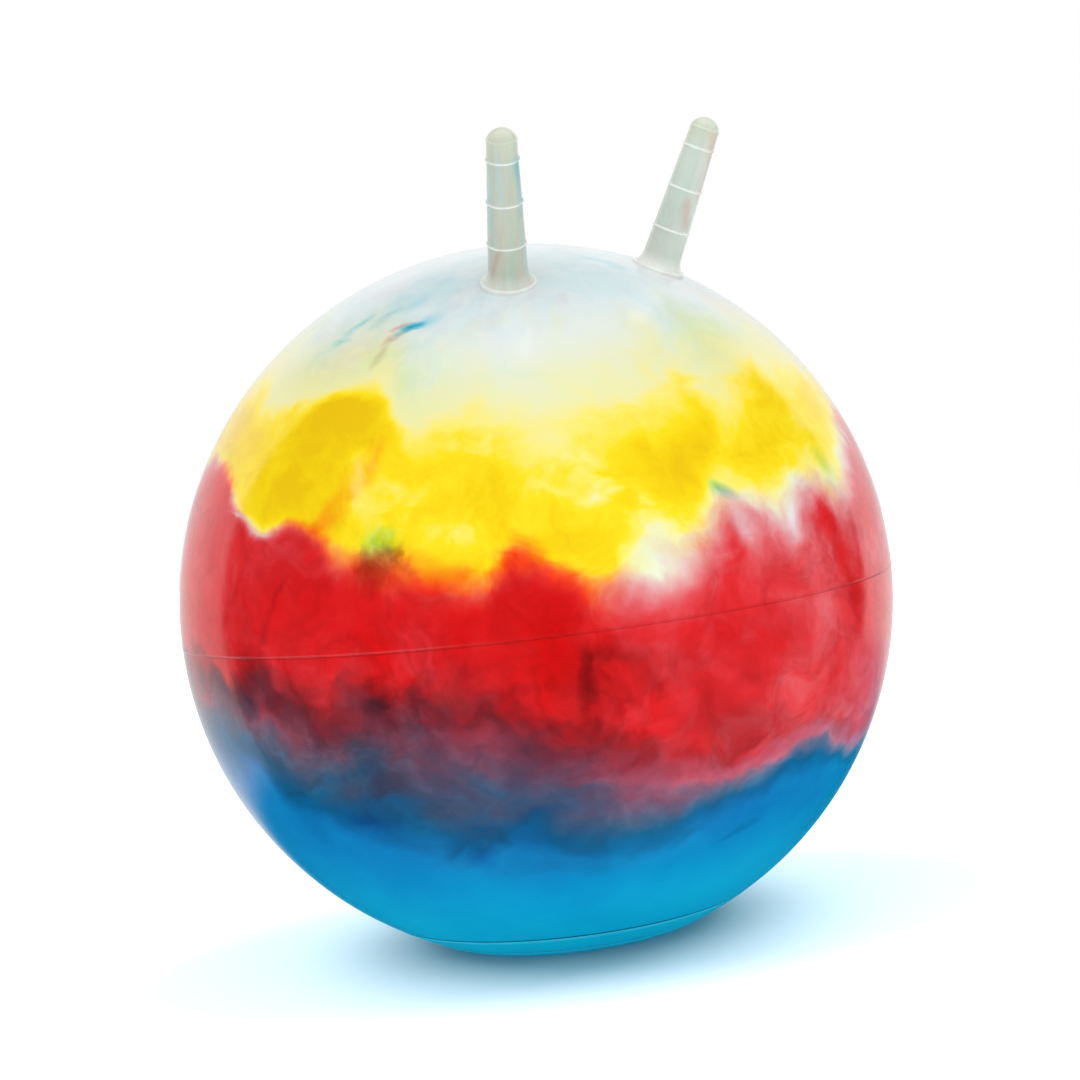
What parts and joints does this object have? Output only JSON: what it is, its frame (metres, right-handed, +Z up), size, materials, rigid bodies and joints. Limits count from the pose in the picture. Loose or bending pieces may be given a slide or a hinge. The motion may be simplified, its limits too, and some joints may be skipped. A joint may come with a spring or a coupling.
{
  "type": "hopper ball",
  "caption": "Inflated marbled hopper ball to sit and bounce on, with ringed horn handles that flex, a moulded seam round its middle, a flat base and a plug valve at the back.",
  "frame": {"origin": "middle of the flat base, on the floor", "axes": "+Z up along the mould axis through the ball's centre; -Y is the front, the way the handles lean; +X is the rider's left"},
  "size_m": [0.551, 0.551, 0.6057],
  "materials": {
    "skin_plastic": "gloss",
    "handle_plastic": "satin",
    "sleeve_plastic": "satin",
    "plug_plastic": "satin"
  },
  "bodies": {
    "ball": {"ball_skin": "skin_plastic", "left_handle_root": "handle_plastic", "right_handle_root": "handle_plastic", "valve_sleeve": "sleeve_plastic"},
    "left_handle": {"left_handle_grip": "handle_plastic"},
    "right_handle": {"right_handle_grip": "handle_plastic"},
    "plug": {"valve_plug": "plug_plastic"}
  },
  "joints": [
    {"name": "left_handle_bend", "type": "hinge", "parent": "ball", "child": "left_handle", "pos_m": [0.07219, -0.11583, 0.5125], "axis": [0.977, 0.0883, -0.1938], "range_deg": [-20, 20], "stiffness_Nm_per_rad": 3, "deforming": ["left_handle_root"]},
    {"name": "right_handle_bend", "type": "hinge", "parent": "ball", "child": "right_handle", "pos_m": [-0.07219, -0.11583, 0.5125], "axis": [0.977, -0.0883, 0.1938], "range_deg": [-20, 20], "stiffness_Nm_per_rad": 3, "deforming": ["right_handle_root"]},
    {"name": "plug_pull", "type": "slide", "parent": "ball", "child": "plug", "axis": [0, 0.8192, -0.5736], "range_m": [0, 0.02]}
  ]
}
